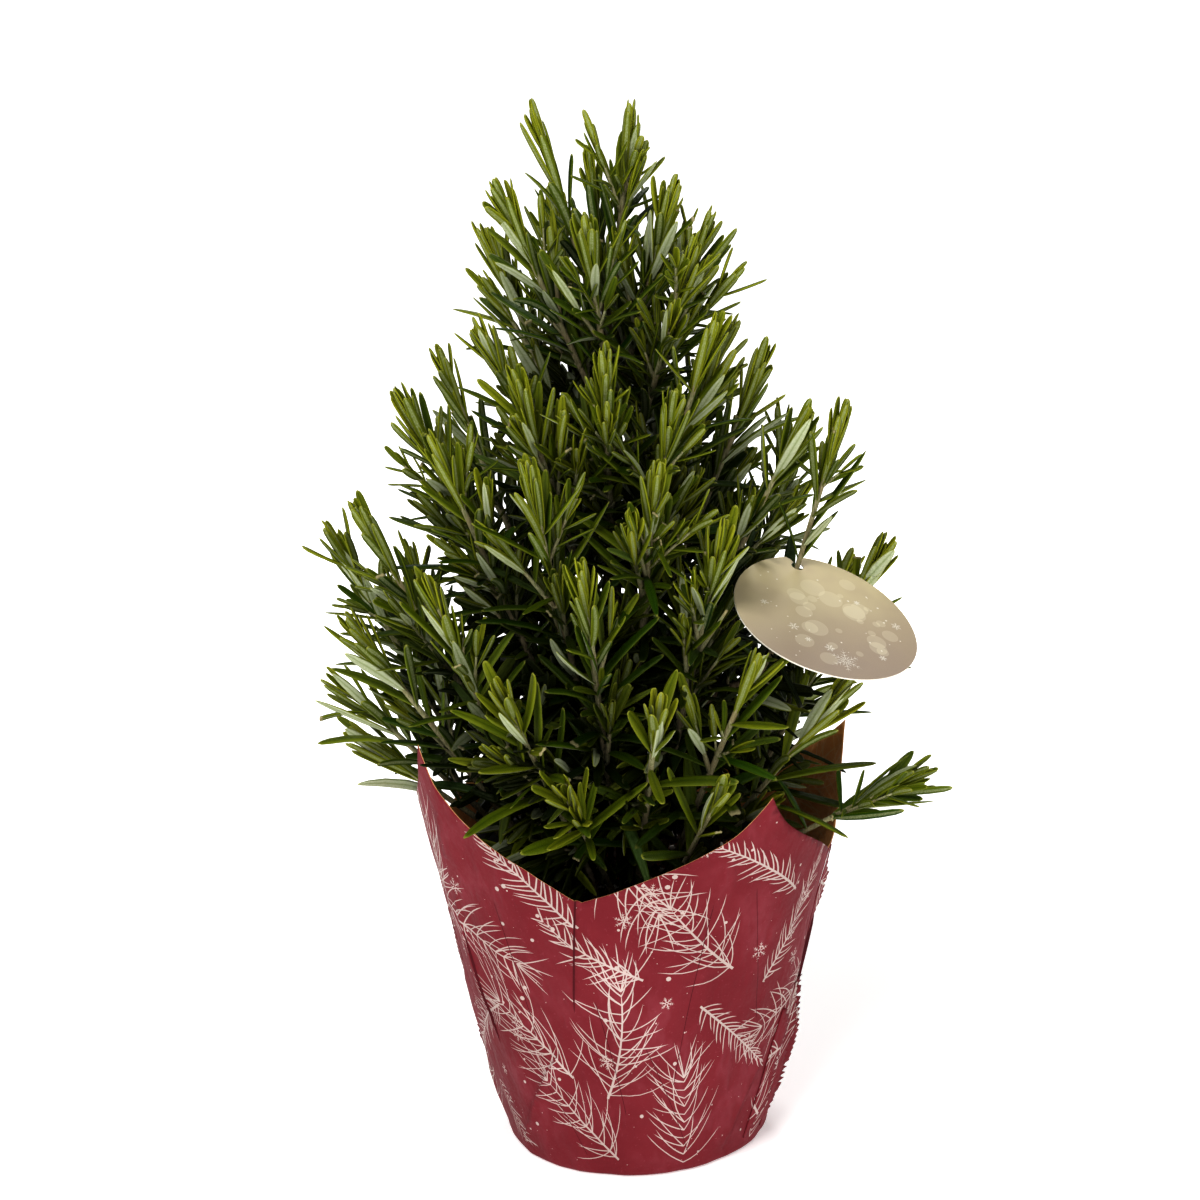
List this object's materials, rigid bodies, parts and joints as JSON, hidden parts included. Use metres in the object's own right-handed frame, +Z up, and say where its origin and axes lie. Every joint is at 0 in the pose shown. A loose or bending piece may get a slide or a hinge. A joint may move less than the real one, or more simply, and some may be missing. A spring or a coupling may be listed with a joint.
{
  "type": "potted rosemary plant",
  "caption": "Rosemary trained as a cone, in a grower's pot inside a pointed paper pot cover, with a round card tag hooked on one stem.",
  "frame": {"origin": "middle of the paper cover's flat foot, where it rests on a table", "axes": "+Z up along the plant, -Y towards the viewer of the picture, +X to the viewer's right"},
  "size_m": [0.2316, 0.2041, 0.4008],
  "materials": {
    "cover_paper": "matt printed paper",
    "pot_plastic": "matt moulded plastic",
    "soil": "peat-based potting mix",
    "bark": "thin flaking bark",
    "tag_card": "coated card",
    "rosemary_leaf": "leathery leaves with a soft sheen"
  },
  "bodies": {
    "root": {"cover": "cover_paper", "grower_pot": "pot_plastic", "potting_soil": "soil", "trunk": "bark", "card_tag": "tag_card", "shoot_01": "rosemary_leaf", "shoot_02": "rosemary_leaf", "shoot_03": "rosemary_leaf", "shoot_04": "rosemary_leaf", "shoot_05": "rosemary_leaf", "shoot_06": "rosemary_leaf", "shoot_07": "rosemary_leaf", "shoot_08": "rosemary_leaf", "shoot_09": "rosemary_leaf", "shoot_10": "rosemary_leaf", "shoot_11": "rosemary_leaf", "shoot_12": "rosemary_leaf", "shoot_13": "rosemary_leaf", "shoot_14": "rosemary_leaf", "shoot_15": "rosemary_leaf", "shoot_16": "rosemary_leaf", "shoot_17": "rosemary_leaf", "shoot_18": "rosemary_leaf", "shoot_19": "rosemary_leaf", "shoot_20": "rosemary_leaf", "shoot_21": "rosemary_leaf", "shoot_22": "rosemary_leaf", "shoot_23": "rosemary_leaf", "shoot_24": "rosemary_leaf", "shoot_25": "rosemary_leaf", "shoot_26": "rosemary_leaf", "shoot_27": "rosemary_leaf", "shoot_28": "rosemary_leaf", "shoot_29": "rosemary_leaf", "shoot_30": "rosemary_leaf", "shoot_31": "rosemary_leaf", "shoot_32": "rosemary_leaf", "shoot_33": "rosemary_leaf", "shoot_34": "rosemary_leaf", "shoot_35": "rosemary_leaf", "shoot_36": "rosemary_leaf", "shoot_37": "rosemary_leaf", "shoot_38": "rosemary_leaf", "shoot_39": "rosemary_leaf", "shoot_40": "rosemary_leaf", "shoot_41": "rosemary_leaf", "shoot_42": "rosemary_leaf", "shoot_43": "rosemary_leaf", "shoot_44": "rosemary_leaf", "shoot_45": "rosemary_leaf", "shoot_46": "rosemary_leaf", "shoot_47": "rosemary_leaf", "shoot_48": "rosemary_leaf", "shoot_49": "rosemary_leaf", "shoot_50": "rosemary_leaf", "shoot_51": "rosemary_leaf", "shoot_52": "rosemary_leaf", "shoot_53": "rosemary_leaf"}
  },
  "joints": []
}
